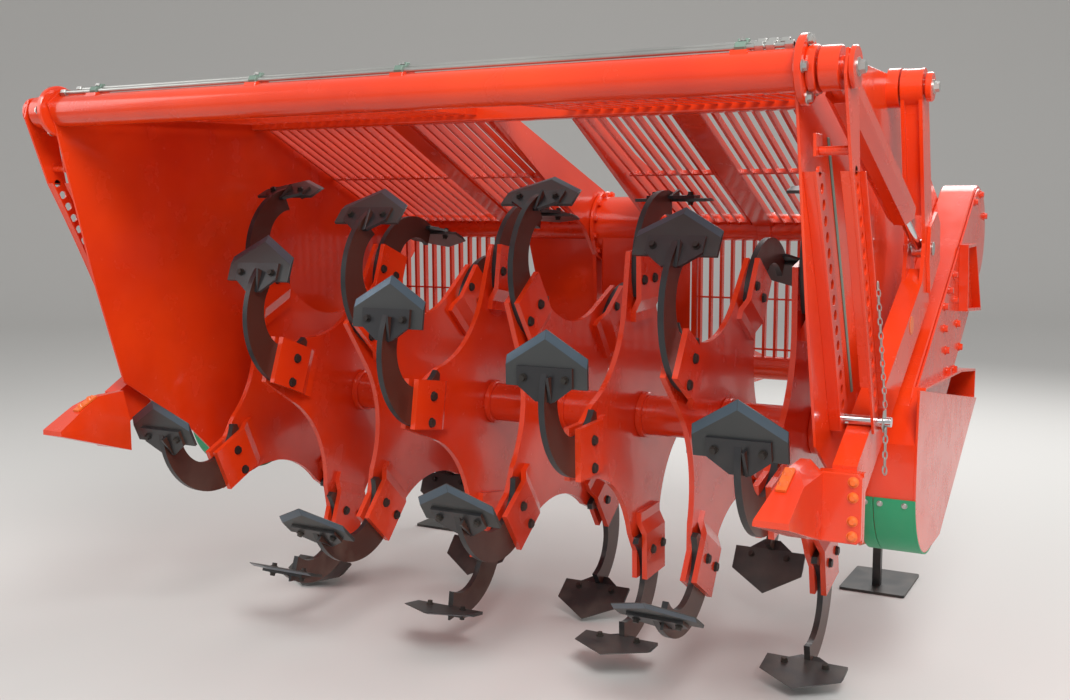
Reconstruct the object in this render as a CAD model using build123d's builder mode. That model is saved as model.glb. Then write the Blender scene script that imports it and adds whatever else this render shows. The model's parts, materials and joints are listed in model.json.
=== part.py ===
"""Deep spading machine for a tractor's three-point hitch, parked without its rear roller.

Frame: +X to the right, +Y in the direction of travel, +Z up, millimetres.
The origin is on the floor under the middle of the machine's box.
Side views are drawn as (y, z) from the rotor's axis.
"""
import os
from math import atan2, cos, degrees, hypot, radians, sin

from build123d import *

os.makedirs("parts", exist_ok=True)

# Rotor
PITCH = 330.0              # from one spade carrier to the next
CARRIERS = 8
ARMS = 4                   # arms on each carrier
STAGGER = 90.0 / CARRIERS  # angle between one spade's entry and the next
ORDER = (0, 4, 1, 6, 2, 5, 3, 7)  # turn of each carrier in steps, from the right
FIRST_ARM = 192.8          # direction of the right carrier's first arm, from +Y towards +Z
ROTOR_R = 76.0             # rotor tube
ROTOR_END = 1362.0
SHAFT_R = 45.0             # shaft stubs in the drive cases
PLATE_T = 20.0             # carrier plate and the cheek beside each tine
TINE_T = 22.0
ARM_R = 631.0              # flat end of a carrier's arm
ARM_LEAD = 70.0            # arm's end ahead of its middle line
ARM_TRAIL = 112.0
WAIST_R = 343.0            # deepest point between two arms
TINE_OUTER_R = 285.0
TINE_INNER_R = 148.0
BLADE_R = 865.0            # where a tine meets its blade
BLADE_LEAD = 20.0          # arm's turn behind its blade, and the blade's tilt, degrees
BLADE_W = 295.0
BLADE_TIP = 133.0          # tip ahead of the tine's end
BLADE_SHOULDER = 43.0
BLADE_BACK = 55.0
BLADE_T = 12.0
BRACKET_W = 200.0
BRACKET_T = 12.0

# Overall places
ROTOR_HEIGHT = 919.0
REACH_REAR = 1203.0        # rotor's axis to the back of the roller brackets
REACH_FRONT = 1450.0       # rotor's axis to the front of the hitch plates
ROTOR_Y = (REACH_REAR - REACH_FRONT) / 2
TOP_TUBE = (-1070.0, 1145.0)
UNDER_BEAM = (-15.0, 1165.0)
CROSS_TUBE = (1025.0, 690.0)
LOWER_TUBE = (1025.0, 62.0)
ARM_PIVOT = (-33.0, 1178.0)
ELBOW = (132.0, 643.0)

# Sections
TOP_TUBE_R = 56.0
CROSS_TUBE_R = 60.0
LOWER_TUBE_R = 52.0
TUBE_WALL = 8.0
UNDER_BEAM_S = 80.0
BAR_W = 12.0
BAR_H = 30.0
BAR_PITCH = 52.0

# Side planes, from the middle of the machine
PANEL_X = 1370.0
PANEL_T = 8.0
CASE_X = PANEL_X + PANEL_T
CASE_W = 172.0
GUARD_T = 8.0
ARM_X = 1458.0             # middle plane of a roller arm and its cylinder
ARM_W = 70.0
ARM_PLATE = 12.0
ARM_SLOPE = 28.5           # fall of the arm's lower beam, degrees
ARM_BEAM_H = 140.0
INNER_GUIDE_X = 1413.0     # outer face of the holed leg beside the panel
GUIDE_X = 1500.0           # inner face of the outer guide plate
GUIDE_T = 8.0
FLANGE_Y = -850.0          # bolted joint between a roller arm and its bracket
PIN_GAP = 0.3              # running gap round a pin
EYE_GAP = 0.8              # round the elbow pin in the rod's eye

BRACKET_X = 1310.0         # inner edge of a bracket, clear of the outer spades

# Depth pin row: its upper end, a point of its arc, and the pin's place along the arm's beam
ROW_TOP = (-1001.0, 886.0)
ROW_BEND = (-848.0, 586.0)
ROW_ALONG = 853.0
ROW_HOLES = 17
ROW_HOLE_R = 15.0

# Three-point hitch
HITCH_X = 482.5            # middle of each lower hitch pair
HITCH_GAP = 70.0
HITCH_T = 20.0
HITCH_BORE_R = 18.5
HITCH_Y = 1400.0
HITCH_Z = 10.0
MAST_Z = 695.0             # upper hitch bore above the rotor's axis
MAST_BORE_R = 16.0
PTO_Z = 440.0

SIDES = (("left", -1), ("right", 1))


def side_plane(x):
    """Plane across X at x, centred on the rotor's axis, with (y, z) as its own directions."""
    return Plane(origin=(x, ROTOR_Y, ROTOR_HEIGHT), x_dir=(0, 1, 0), z_dir=(1, 0, 0))


def save(part, name):
    part.label = name
    export_step(part, f"parts/{name}.step")


def turned(a, b, angle):
    """Side-view point that lies a along and b behind a direction given in degrees."""
    t = radians(angle)
    return (a * cos(t) - b * sin(t), a * sin(t) + b * cos(t))


def bar(start, end, width, height, x):
    """Flat bar in a side view from start to end, width across X, centred on x."""
    length = hypot(end[0] - start[0], end[1] - start[1])
    angle = degrees(atan2(end[1] - start[1], end[0] - start[0]))
    middle = ((start[0] + end[0]) / 2, (start[1] + end[1]) / 2)
    with BuildPart() as piece:
        with BuildSketch(side_plane(x)):
            with Locations(Location((middle[0], middle[1], 0), (0, 0, angle))):
                Rectangle(length, height)
        extrude(amount=width / 2, both=True)
    return piece.part


def tube(centre, radius, wall, x0, x1):
    """Round tube along X between x0 and x1."""
    with BuildPart() as piece:
        with BuildSketch(side_plane(x0)):
            with Locations(centre):
                Circle(radius)
                if wall:
                    Circle(radius - wall, mode=Mode.SUBTRACT)
        extrude(amount=x1 - x0)
    return piece.part


# Rotor
def arm_angles():
    """Side plane x and arm direction of each of the rotor's spades."""
    for i, turn in enumerate(ORDER):
        x = (CARRIERS - 1) / 2 * PITCH - i * PITCH
        first = FIRST_ARM - turn * STAGGER
        yield x, [first + k * 360 / ARMS for k in range(ARMS)]


def spade_point(s, w, arm):
    """Side-view point s ahead of a tine's end along its blade and w outside the blade."""
    end_a = BLADE_R * cos(radians(BLADE_LEAD))
    end_b = -BLADE_R * sin(radians(BLADE_LEAD))
    return turned(end_a + w, end_b - s, arm)


def carrier(x, arms):
    """Star plate with four arms, and the joggled cheek that holds each tine against it."""
    face = x - TINE_T / 2
    with BuildPart() as plate:
        with BuildSketch(side_plane(face)):
            with BuildLine():
                for arm in arms:
                    after = arm + 360 / ARMS
                    corner = turned(ARM_R, ARM_TRAIL, arm)
                    flank = turned(440, 150, arm)
                    waist = turned(WAIST_R, 0, arm + 180 / ARMS)
                    lead = turned(440, -118, after)
                    neck = turned(520, -ARM_LEAD, after)
                    Polyline(turned(ARM_R, -ARM_LEAD, arm), corner, flank)
                    ThreePointArc(flank, waist, lead)
                    Polyline(lead, neck, turned(ARM_R, -ARM_LEAD, after))
            make_face()
        extrude(amount=-PLATE_T)
        for arm in arms:
            t = radians(arm)
            cheek_plane = Plane(
                origin=(x, ROTOR_Y, ROTOR_HEIGHT),
                x_dir=(1, 0, 0),
                z_dir=(0, -sin(t), cos(t)),
            )
            inner = TINE_T / 2
            with BuildSketch(cheek_plane.offset(-ARM_LEAD)):
                with BuildLine():
                    Polyline(
                        (inner, ARM_R),
                        (inner + PLATE_T, ARM_R),
                        (inner + PLATE_T, 450),
                        (-inner + PLATE_T, 405),
                        (-inner + PLATE_T, 370),
                        (-inner, 370),
                        (-inner, 412),
                        (inner, 457),
                        close=True,
                    )
                make_face()
            extrude(amount=ARM_LEAD + ARM_TRAIL)
    return plate.part


def tine(x, arm):
    """C-shaped tine plate with the bracket welded across its end."""
    with BuildPart() as piece:
        with BuildSketch(side_plane(x)):
            with Locations(spade_point(-118, -251, arm)):
                Circle(TINE_OUTER_R)
            with Locations(spade_point(-110, -205, arm)):
                Circle(TINE_INNER_R, mode=Mode.SUBTRACT)
            keep = [
                spade_point(13, 90, arm),
                spade_point(13, 0, arm),
                spade_point(-BLADE_BACK - 2, 0, arm),
                spade_point(-BLADE_BACK - 2, -110, arm),
                spade_point(-110, -205, arm),
                spade_point(-200, -352, arm),
                spade_point(-460, -352, arm),
                spade_point(-460, 90, arm),
            ]
            with BuildLine():
                Polyline(*keep, close=True)
            make_face(mode=Mode.INTERSECT)
        extrude(amount=TINE_T / 2, both=True)
        back = BRACKET_W / 2
        with BuildSketch(blade_plane(x, arm)):
            with BuildLine():
                Polyline(
                    (-back, 13), (back, 13), (back, -50), (33, -100), (-33, -100), (-back, -50),
                    close=True,
                )
            make_face()
        extrude(amount=BRACKET_T)
    return piece.part


def blade_plane(x, arm):
    """Plane of a blade's outer face: +X across, its second direction towards the tip."""
    t = radians(arm)
    y, z = spade_point(0, 0, arm)
    return Plane(
        origin=(x, ROTOR_Y + y, ROTOR_HEIGHT + z),
        x_dir=(1, 0, 0),
        z_dir=(0, cos(t), sin(t)),
    )


def blade(x, arm):
    """Pointed soil blade under the bracket, its two leading edges ground from outside."""
    half = BLADE_W / 2
    with BuildPart() as piece:
        with BuildSketch(blade_plane(x, arm)):
            with BuildLine():
                Polyline(
                    (0, BLADE_TIP), (half, BLADE_SHOULDER), (half, -BLADE_BACK),
                    (-half, -BLADE_BACK), (-half, BLADE_SHOULDER),
                    close=True,
                )
            make_face()
        extrude(amount=-BLADE_T)
    return piece.part


def rotor_tube():
    """Tube through the carriers with a welded collar at each, and the driven end shafts."""
    with BuildPart() as piece:
        with BuildSketch(side_plane(-ROTOR_END)):
            Circle(ROTOR_R)
        extrude(amount=2 * ROTOR_END)
        for side, sign in SIDES:
            with BuildSketch(side_plane(sign * ROTOR_END)):
                Circle(SHAFT_R)
            extrude(amount=sign * (CASE_X + CASE_W / 2 - ROTOR_END))
    return piece.part


rotor = rotor_tube()
carriers, tines, blades = [], [], []
for x, arms in arm_angles():
    carriers.append(carrier(x, arms) - rotor)
    for arm in arms:
        tines.append(tine(x, arm))
        blades.append(blade(x, arm))
save(rotor, "rotor_shaft")
save(Compound(carriers), "spade_carriers")
save(Compound(tines), "spade_tines")
save(Compound(blades), "spade_blades")


# Cross members
save(tube(TOP_TUBE, TOP_TUBE_R, TUBE_WALL, -PANEL_X, PANEL_X), "top_tube")
save(tube(CROSS_TUBE, CROSS_TUBE_R, TUBE_WALL, -PANEL_X, PANEL_X), "front_cross_tube")
lower_tube = tube(LOWER_TUBE, LOWER_TUBE_R, TUBE_WALL, -PANEL_X, PANEL_X)

with BuildPart() as under_beam:
    with BuildSketch(side_plane(-PANEL_X)):
        with Locations(UNDER_BEAM):
            RectangleRounded(UNDER_BEAM_S, UNDER_BEAM_S, 10)
            Rectangle(UNDER_BEAM_S - 2 * TUBE_WALL, UNDER_BEAM_S - 2 * TUBE_WALL,
                      mode=Mode.SUBTRACT)
    extrude(amount=2 * PANEL_X)
save(under_beam.part, "under_beam")


def member(centre, radius, square=0):
    """Outer form of a cross member, to fit the pieces that end on it."""
    with BuildPart() as piece:
        with BuildSketch(side_plane(-PANEL_X)):
            with Locations(centre):
                if square:
                    Rectangle(square, square)
                else:
                    Circle(radius)
        extrude(amount=2 * PANEL_X)
    return piece.part


TOP_FORM = member(TOP_TUBE, TOP_TUBE_R)
UNDER_FORM = member(UNDER_BEAM, 0, UNDER_BEAM_S)
CROSS_FORM = member(CROSS_TUBE, CROSS_TUBE_R)
LOWER_FORM = member(LOWER_TUBE, LOWER_TUBE_R)


def grille(start, end, forms, x0, x1, cross_at):
    """Bars side by side from x0 to x1 between two members, on crossbars that tie them."""
    count = round((x1 - x0) / BAR_PITCH)
    pitch = (x1 - x0) / count
    one = bar(start, end, BAR_W, BAR_H, 0) - forms
    bars = [Pos(x0 + (i + 0.5) * pitch, 0, 0) * one for i in range(count)]
    for share in cross_at:
        a = (start[0] + (end[0] - start[0]) * share, start[1] + (end[1] - start[1]) * share)
        length = hypot(end[0] - start[0], end[1] - start[1])
        b = (a[0] + (end[0] - start[0]) / length * BAR_W, a[1] + (end[1] - start[1]) / length * BAR_W)
        bars.append(bar(a, b, x1 - x0, BAR_H * 0.6, (x0 + x1) / 2))
    return bars[0].fuse(*bars[1:])


GRILLE_EDGE = 150.0        # from the middle to the first bar beside the mast
GRILLES = (
    ("top_grille", TOP_TUBE, UNDER_BEAM, [TOP_FORM, UNDER_FORM], (0.33, 0.67)),
    ("upper_grille", UNDER_BEAM, CROSS_TUBE, [UNDER_FORM, CROSS_FORM], (0.5,)),
    ("lower_grille", CROSS_TUBE, LOWER_TUBE, [CROSS_FORM, LOWER_FORM], (0.5,)),
)
for name, start, end, forms, cross_at in GRILLES:
    for side, sign in SIDES:
        x0, x1 = sorted((sign * GRILLE_EDGE, sign * PANEL_X))
        save(grille(start, end, forms, x0, x1, cross_at), f"{name}_{side}")

# Mast
with BuildPart() as headstock:
    for x in (-45, 45):
        with BuildSketch(side_plane(x)):
            with BuildLine():
                Polyline(
                    (UNDER_BEAM[0] + UNDER_BEAM_S / 2, UNDER_BEAM[1] + UNDER_BEAM_S / 2),
                    (1200, 800), (HITCH_Y - 40, MAST_Z + 45), (HITCH_Y - 40, MAST_Z - 45),
                    (1180, 560), (1090, LOWER_TUBE[1]), (1025, LOWER_TUBE[1]), (960, 560),
                    (UNDER_BEAM[0] + UNDER_BEAM_S / 2, UNDER_BEAM[1] - UNDER_BEAM_S / 2),
                    close=True,
                )
            make_face()
            with Locations(CROSS_TUBE):
                Circle(CROSS_TUBE_R, mode=Mode.SUBTRACT)
            with Locations(LOWER_TUBE):
                Circle(LOWER_TUBE_R, mode=Mode.SUBTRACT)
            with Locations((HITCH_Y - 80, MAST_Z)):
                Circle(MAST_BORE_R, mode=Mode.SUBTRACT)
        extrude(amount=10, both=True)
save(headstock.part, "headstock")

for side, sign in SIDES:
    plates = []
    for offset in (-1, 1):
        x = sign * HITCH_X + offset * (HITCH_GAP + HITCH_T) / 2
        with BuildPart() as plate:
            with BuildSketch(side_plane(x)):
                with BuildLine():
                    Polyline(
                        (LOWER_TUBE[0] + 20, LOWER_TUBE[1] + 90), (HITCH_Y, HITCH_Z + 50),
                        (HITCH_Y + 50, HITCH_Z), (HITCH_Y, HITCH_Z - 50),
                        (LOWER_TUBE[0] + 20, LOWER_TUBE[1] - 90),
                        close=True,
                    )
                make_face()
                with Locations(LOWER_TUBE):
                    Circle(LOWER_TUBE_R, mode=Mode.SUBTRACT)
                with Locations((HITCH_Y, HITCH_Z)):
                    Circle(HITCH_BORE_R, mode=Mode.SUBTRACT)
            extrude(amount=HITCH_T / 2, both=True)
        plates.append(plate.part)
    save(Compound(plates), f"hitch_plates_{side}")

with BuildPart() as gearbox:
    with BuildSketch(side_plane(-110)):
        with BuildLine():
            Polyline(
                (CROSS_TUBE[0] - 110, 540), (CROSS_TUBE[0] + 60, 350), (CROSS_TUBE[0] + 150, 350),
                (CROSS_TUBE[0] + 150, 560), (CROSS_TUBE[0] + 60, 760), (CROSS_TUBE[0] - 110, 760),
                close=True,
            )
        make_face()
    extrude(amount=220)
save(gearbox.part - [CROSS_FORM, headstock.part], "gearbox")
with BuildPart() as stub:
    with BuildSketch(Plane(
        origin=(0, ROTOR_Y + CROSS_TUBE[0] + 150, ROTOR_HEIGHT + PTO_Z), z_dir=(0, 1, 0)
    )):
        Circle(17.5)
    extrude(amount=110)
save(stub.part, "pto_stub")

# Sides
PANEL = (
    (-1135, 1170), (-1105, 1089), (-957, 495), (-842, 112), (-719, 30), (-518, -109),
    (-380, -241), (-250, -330), (-50, -366), (300, -300), (1085, 0), (1085, 740),
    (980, 790), (60, 1225), (-1070, 1225),
)
GUIDE = (
    (-1135, 1150), (-1089, 1000), (-1040, 886), (-890, 586), (-712, 169), (-668, 110),
    (-600, 130), (-610, 169), (-790, 586), (-930, 886), (-1000, 1150),
)
CASE_R = 225.0
CASE_TOP_R = 205.0
GUARD = ((-290, 211), (-290, -150), (-240, -290), (-50, -376), (974, 0))


def beam_point(along, up):
    """Point of the arm's lower beam: along it from the elbow, up from its upper face."""
    t = radians(180 + ARM_SLOPE)
    return (89 + along * cos(t) + up * sin(radians(-ARM_SLOPE)),
            564 + along * sin(t) + up * cos(radians(ARM_SLOPE)))


ROW = (ROW_TOP, ROW_BEND, beam_point(ROW_ALONG, ROW_HOLE_R))


def row_points():
    """Centres of the depth pin's holes, evenly along the row's arc."""
    with BuildLine() as line:
        ThreePointArc(*ROW)
    arc = line.edges()[0]
    return [arc @ (i / (ROW_HOLES - 1)) for i in range(ROW_HOLES)]


def plate(points, x, thickness, holes=(), hole_r=0, discs=()):
    """Flat plate in a side plane, from x by a signed thickness."""
    with BuildPart() as piece:
        with BuildSketch(side_plane(x)):
            with BuildLine():
                Polyline(*points, close=True)
            make_face()
            for centre, radius in discs:
                with Locations(centre):
                    Circle(radius)
            if holes:
                with Locations(*holes):
                    Circle(hole_r, mode=Mode.SUBTRACT)
        extrude(amount=thickness)
    return piece.part


holes = [(p.X, p.Y) for p in row_points()]
sleeves = []
for side, sign in SIDES:
    panel = plate(PANEL, sign * PANEL_X, sign * PANEL_T, [(0, 0)], ROTOR_R + 12)
    web = plate(
        [(y - 42, z) for y, z in (ROW[0], ROW[1], ROW[2])]
        + [(y + 42, z) for y, z in (ROW[2], ROW[1], ROW[0])],
        sign * (INNER_GUIDE_X - GUIDE_T), sign * GUIDE_T, holes, ROW_HOLE_R,
    )
    with BuildPart() as lip:
        with BuildSketch(side_plane(sign * PANEL_X)):
            with BuildLine():
                Polyline(
                    *[(y - 42, z) for y, z in ROW], *[(y - 34, z) for y, z in ROW[::-1]],
                    close=True,
                )
            make_face()
        extrude(amount=sign * (INNER_GUIDE_X - PANEL_X))
    save(panel.fuse(web, lip.part), f"side_panel_{side}")

    guide = plate(GUIDE, sign * GUIDE_X, sign * GUIDE_T, holes, ROW_HOLE_R, [(TOP_TUBE, 75)])
    with BuildPart() as spacer:
        with BuildSketch(side_plane(sign * INNER_GUIDE_X)):
            with Locations((-1010, 950)):
                Circle(12)
        extrude(amount=sign * (GUIDE_X - INNER_GUIDE_X))
    with BuildPart() as pivot:
        with BuildSketch(side_plane(sign * (PANEL_X + PANEL_T))):
            with Locations(TOP_TUBE):
                Circle(92)
        extrude(amount=sign * 12)
        with BuildSketch(side_plane(sign * (PANEL_X + PANEL_T))):
            with Locations(TOP_TUBE):
                Circle(62)
        extrude(amount=sign * (ARM_X - 32 - PANEL_X - PANEL_T))
        with BuildSketch(side_plane(sign * (PANEL_X + PANEL_T))):
            with Locations(TOP_TUBE):
                Circle(30)
        extrude(amount=sign * (GUIDE_X - PANEL_X - PANEL_T))
    save(guide.fuse(spacer.part, pivot.part), f"guide_plate_{side}")

    save(
        tube(ROW[2], ROW_HOLE_R - PIN_GAP, 0, sign * (PANEL_X + PANEL_T), sign * (GUIDE_X + 50)),
        f"depth_pin_{side}",
    )

    with BuildPart() as case:
        with BuildSketch(side_plane(sign * CASE_X)):
            Circle(CASE_R)
            with Locations(CROSS_TUBE):
                Circle(CASE_TOP_R)
            make_hull()
            Circle(SHAFT_R + 1, mode=Mode.SUBTRACT)
        extrude(amount=sign * CASE_W)
    save(case.part, f"drive_case_{side}")

    guard = plate(
        [*GUARD, (900, 150), (-100, 340)], sign * (CASE_X + CASE_W), sign * GUARD_T,
    )
    save(guard, f"case_guard_{side}")

    # Roller arm: two side plates from pivot to elbow, a closed beam from there to the joint
    side_points = [
        (ARM_PIVOT[0] - 55, ARM_PIVOT[1] - 10), (ARM_PIVOT[0] + 55, ARM_PIVOT[1] + 10),
        (ELBOW[0] + 70, ELBOW[1] + 20), (ELBOW[0] + 60, ELBOW[1] - 110),
        beam_point(60, -ARM_BEAM_H), beam_point(60, 0), (ELBOW[0] - 65, ELBOW[1] + 20),
    ]
    inner = sign * (ARM_X - ARM_W / 2)
    outer = sign * (ARM_X + ARM_W / 2 - ARM_PLATE)
    cheeks = [
        plate(side_points, x, sign * ARM_PLATE, discs=[(ARM_PIVOT, 62)]) for x in (inner, outer)
    ]
    end = (FLANGE_Y + 20 - 89) / cos(radians(180 + ARM_SLOPE))
    with BuildPart() as beam:
        with BuildSketch(side_plane(sign * ARM_X)):
            with BuildLine():
                Polyline(
                    beam_point(-20, 0), beam_point(end, 0), (FLANGE_Y + 20, -88),
                    beam_point(end - 90, -ARM_BEAM_H), beam_point(-20, -ARM_BEAM_H),
                    close=True,
                )
            make_face()
        extrude(amount=ARM_W / 2, both=True)
        with BuildSketch(side_plane(sign * ARM_X)):
            with Locations(ARM_PIVOT):
                Circle(50)
        extrude(amount=ARM_W / 2, both=True)
        with BuildSketch(side_plane(sign * (ARM_X - 66))):
            with BuildLine():
                Polyline(
                    (FLANGE_Y, -149), (FLANGE_Y, 53), (FLANGE_Y + 20, 53), (FLANGE_Y + 20, -149),
                    close=True,
                )
            make_face()
        extrude(amount=sign * 126)
    arm = beam.part.fuse(*cheeks)
    with BuildPart() as bores:
        with BuildSketch(side_plane(sign * (ARM_X - 60))):
            with Locations(ARM_PIVOT):
                Circle(25 + PIN_GAP)
            with Locations(ELBOW):
                Circle(15 + PIN_GAP)
        extrude(amount=sign * 120)
    save(arm - bores.part, f"roller_arm_{side}")

    with BuildPart() as bracket:
        with BuildSketch(side_plane(sign * BRACKET_X)):
            with BuildLine():
                Polyline(
                    (-REACH_REAR, -38), (-REACH_REAR, -20), (-1100, 32), (-1000, 80), (FLANGE_Y, 84),
                    (FLANGE_Y, -149),
                    close=True,
                )
            make_face()
        extrude(amount=sign * 208)
    with BuildPart() as roof:
        with BuildSketch(Plane(
            origin=(0, ROTOR_Y + FLANGE_Y, ROTOR_HEIGHT), x_dir=(1, 0, 0), z_dir=(0, -1, 0)
        )):
            with BuildLine():
                Polyline(
                    *[(sign * x, z) for x, z in (
                        (BRACKET_X, -160), (BRACKET_X, -30), (1345, 90), (1405, 90), (1518, 0), (1518, -160)
                    )],
                    close=True,
                )
            make_face()
        extrude(amount=400)
    save(bracket.part & roof.part, f"arm_bracket_{side}")

    pin = tube(ARM_PIVOT, 25, 0, sign * (PANEL_X + PANEL_T), sign * (ARM_X + ARM_W / 2 + 25))
    with BuildPart() as boss:
        with BuildSketch(side_plane(sign * (PANEL_X + PANEL_T))):
            with Locations(ARM_PIVOT):
                Circle(65)
        extrude(amount=sign * (ARM_X - ARM_W / 2 - 6 - PANEL_X - PANEL_T))
    save(pin.fuse(boss.part), f"arm_pivot_pin_{side}")
    save(
        tube(ELBOW, 15, 0, sign * (ARM_X - ARM_W / 2 - 4), sign * (ARM_X + ARM_W / 2 + 12)),
        f"elbow_pin_{side}",
    )

    # Depth cylinder between the top tube's end and the elbow
    reach = hypot(ELBOW[0] - TOP_TUBE[0], ELBOW[1] - TOP_TUBE[1])
    fall = degrees(atan2(ELBOW[1] - TOP_TUBE[1], ELBOW[0] - TOP_TUBE[0]))
    t = radians(fall)
    head = (TOP_TUBE[0] + (reach - 185) * cos(t), TOP_TUBE[1] + (reach - 185) * sin(t))
    with BuildPart() as barrel:
        axis_plane = Plane(
            origin=(sign * ARM_X, ROTOR_Y + TOP_TUBE[0], ROTOR_HEIGHT + TOP_TUBE[1]),
            x_dir=(1, 0, 0), z_dir=(0, cos(t), sin(t)),
        )
        with BuildSketch(axis_plane.offset(70)):
            RegularPolygon(35, 8)
        extrude(amount=reach - 185 - 70)
        with BuildSketch(side_plane(sign * ARM_X)):
            with Locations(TOP_TUBE):
                Circle(52)
            with Locations(Location((TOP_TUBE[0] + 50 * cos(t), TOP_TUBE[1] + 50 * sin(t), 0),
                                    (0, 0, fall))):
                Rectangle(60, 60)
        extrude(amount=28, both=True)
        with BuildSketch(side_plane(sign * ARM_X)):
            with Locations(TOP_TUBE):
                Circle(30 + PIN_GAP)
        extrude(amount=40, both=True, mode=Mode.SUBTRACT)
        with BuildSketch(axis_plane.offset(reach - 185)):
            Circle(17.5 + PIN_GAP)
        extrude(amount=-320, mode=Mode.SUBTRACT)
    save(barrel.part, f"cylinder_barrel_{side}")
    with BuildPart() as rod:
        with BuildSketch(axis_plane.offset(reach - 185 - 200)):
            Circle(17.5)
        extrude(amount=385 - 30)
        with BuildSketch(side_plane(sign * ARM_X)):
            with Locations(ELBOW):
                Circle(32)
        extrude(amount=18, both=True)
        with BuildSketch(side_plane(sign * ARM_X)):
            with Locations(ELBOW):
                Circle(15 + EYE_GAP)
        extrude(amount=40, both=True, mode=Mode.SUBTRACT)
    save(rod.part, f"cylinder_rod_{side}")

    # Parking stand
    with BuildPart() as stand:
        with BuildSketch(Plane(origin=(sign * 1136, ROTOR_Y + 1211, 0))):
            RectangleRounded(284, 350, 12)
        extrude(amount=12)
        with BuildSketch(Plane(origin=(sign * 1136, ROTOR_Y + 1150, 12))):
            Rectangle(35, 35)
        extrude(amount=ROTOR_HEIGHT + 100)
    save(stand.part, f"stand_{side}")
    with BuildPart() as sleeve:
        with BuildSketch(Plane(origin=(sign * 1136, ROTOR_Y + 1150, ROTOR_HEIGHT - 60))):
            Rectangle(55, 55)
            Rectangle(36, 36, mode=Mode.SUBTRACT)
        extrude(amount=260)
        with BuildSketch(Plane(origin=(sign * 1136, ROTOR_Y + 1100, ROTOR_HEIGHT + 10))):
            Rectangle(20, 50)
        extrude(amount=110)
    sleeves.append(sleeve.part - LOWER_FORM)
save(lower_tube.fuse(*sleeves), "lower_cross_tube")
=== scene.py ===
"""Finishes the spading machine: spades, sheet metal, pipes, fasteners, paint, stage and camera.

Everything is in metres in the frame's own place: +X right, +Y in the direction of travel, +Z up.
Pieces are drawn in millimetres from the rotor's axis, side views as (y, z), and MM turns them
to metres.
"""

import json
from math import atan2, cos, hypot, pi, radians, sin, tau

import bmesh
import bpy
from bpy.props import FloatProperty, FloatVectorProperty, PointerProperty
from mathutils import Matrix, Vector


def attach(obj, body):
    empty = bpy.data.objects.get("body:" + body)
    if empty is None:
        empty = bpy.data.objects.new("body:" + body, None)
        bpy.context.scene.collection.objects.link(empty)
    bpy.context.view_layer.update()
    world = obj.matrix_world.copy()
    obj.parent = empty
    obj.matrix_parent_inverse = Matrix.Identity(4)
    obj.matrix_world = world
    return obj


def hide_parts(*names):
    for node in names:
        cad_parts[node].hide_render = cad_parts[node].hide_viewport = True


bl_info = {
    "name": "Spading machine finish",
    "version": (1, 0, 0),
    "blender": (4, 5, 0),
    "location": "View3D > Sidebar > Spading machine",
    "description": "Spades, sheet metal, fasteners, paint and studio for a parked spading machine",
    "category": "Object",
}

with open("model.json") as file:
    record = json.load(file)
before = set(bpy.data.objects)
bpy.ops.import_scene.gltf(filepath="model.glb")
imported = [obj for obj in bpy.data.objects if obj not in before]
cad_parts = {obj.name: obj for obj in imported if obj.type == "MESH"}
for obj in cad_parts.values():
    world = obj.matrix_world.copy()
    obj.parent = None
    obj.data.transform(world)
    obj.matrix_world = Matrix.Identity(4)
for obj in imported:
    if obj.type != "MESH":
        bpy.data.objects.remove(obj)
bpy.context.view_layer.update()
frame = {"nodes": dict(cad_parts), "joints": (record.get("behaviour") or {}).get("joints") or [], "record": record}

# The rotor, as the frame has it
AXIS = Vector(next(j["pos_m"] for j in frame["joints"] if j["name"] == "rotor_spin"))
SIDES = (("left", -1), ("right", 1))
MM = 0.001

# Planes that outlines are drawn in: side as (y, z), front as (x, z) with its depth to the rear
SIDE = Matrix(((0, 0, 1, 0), (1, 0, 0, AXIS.y), (0, 1, 0, AXIS.z), (0, 0, 0, 1)))
FRONT = Matrix(((1, 0, 0, 0), (0, 0, -1, AXIS.y), (0, 1, 0, AXIS.z), (0, 0, 0, 1)))

# Rotor, in millimetres
PITCH = 330.0
ORDER = (0, 4, 1, 6, 2, 5, 3, 7)
STAGGER = 11.25
FIRST_ARM = 192.8
BLADE_R = 865.0
BLADE_LEAD = radians(20.0)
CHEEK_FACE = 31.0
CHEEK_BOLT_OUT, CHEEK_BOLTS_UP = 525.0, (-11.0, 86.0)
COLLAR_R, COLLAR_BACK, COLLAR_FRONT = 88.0, 11.0, 15.0

# Frame members as (y, z), in millimetres
TOP_TUBE = (-1070.0, 1145.0)
UNDER_BEAM = (-15.0, 1165.0)
CROSS_TUBE = (1025.0, 690.0)
LOWER_TUBE = (1025.0, 62.0)
ARM_PIVOT = (-33.0, 1178.0)
ELBOW = (132.0, 643.0)
PANEL_X, PANEL_FACE = 1370.0, 1378.0
ARM_X, ARM_IN, ARM_OUT = 1458.0, 1423.0, 1493.0
LEG_FACE = 1413.0
GUIDE_X, GUIDE_OUT = 1500.0, 1508.0
CASE_FACE = 1520.0
GUARD_X, GUARD_OUT = 1550.0, 1558.0
SHEET = 8.0


# Node groups shared by the finishes
def new_group(name, sockets_in, sockets_out):
    """Empty shader group with named sockets, each (name, type, default)."""
    group = bpy.data.node_groups.new(name, "ShaderNodeTree")
    for label, kind, default in sockets_in:
        socket = group.interface.new_socket(name=label, in_out="INPUT", socket_type=kind)
        socket.default_value = default
    for label, kind in sockets_out:
        group.interface.new_socket(name=label, in_out="OUTPUT", socket_type=kind)
    return group, group.nodes.new("NodeGroupInput"), group.nodes.new("NodeGroupOutput")


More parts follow.
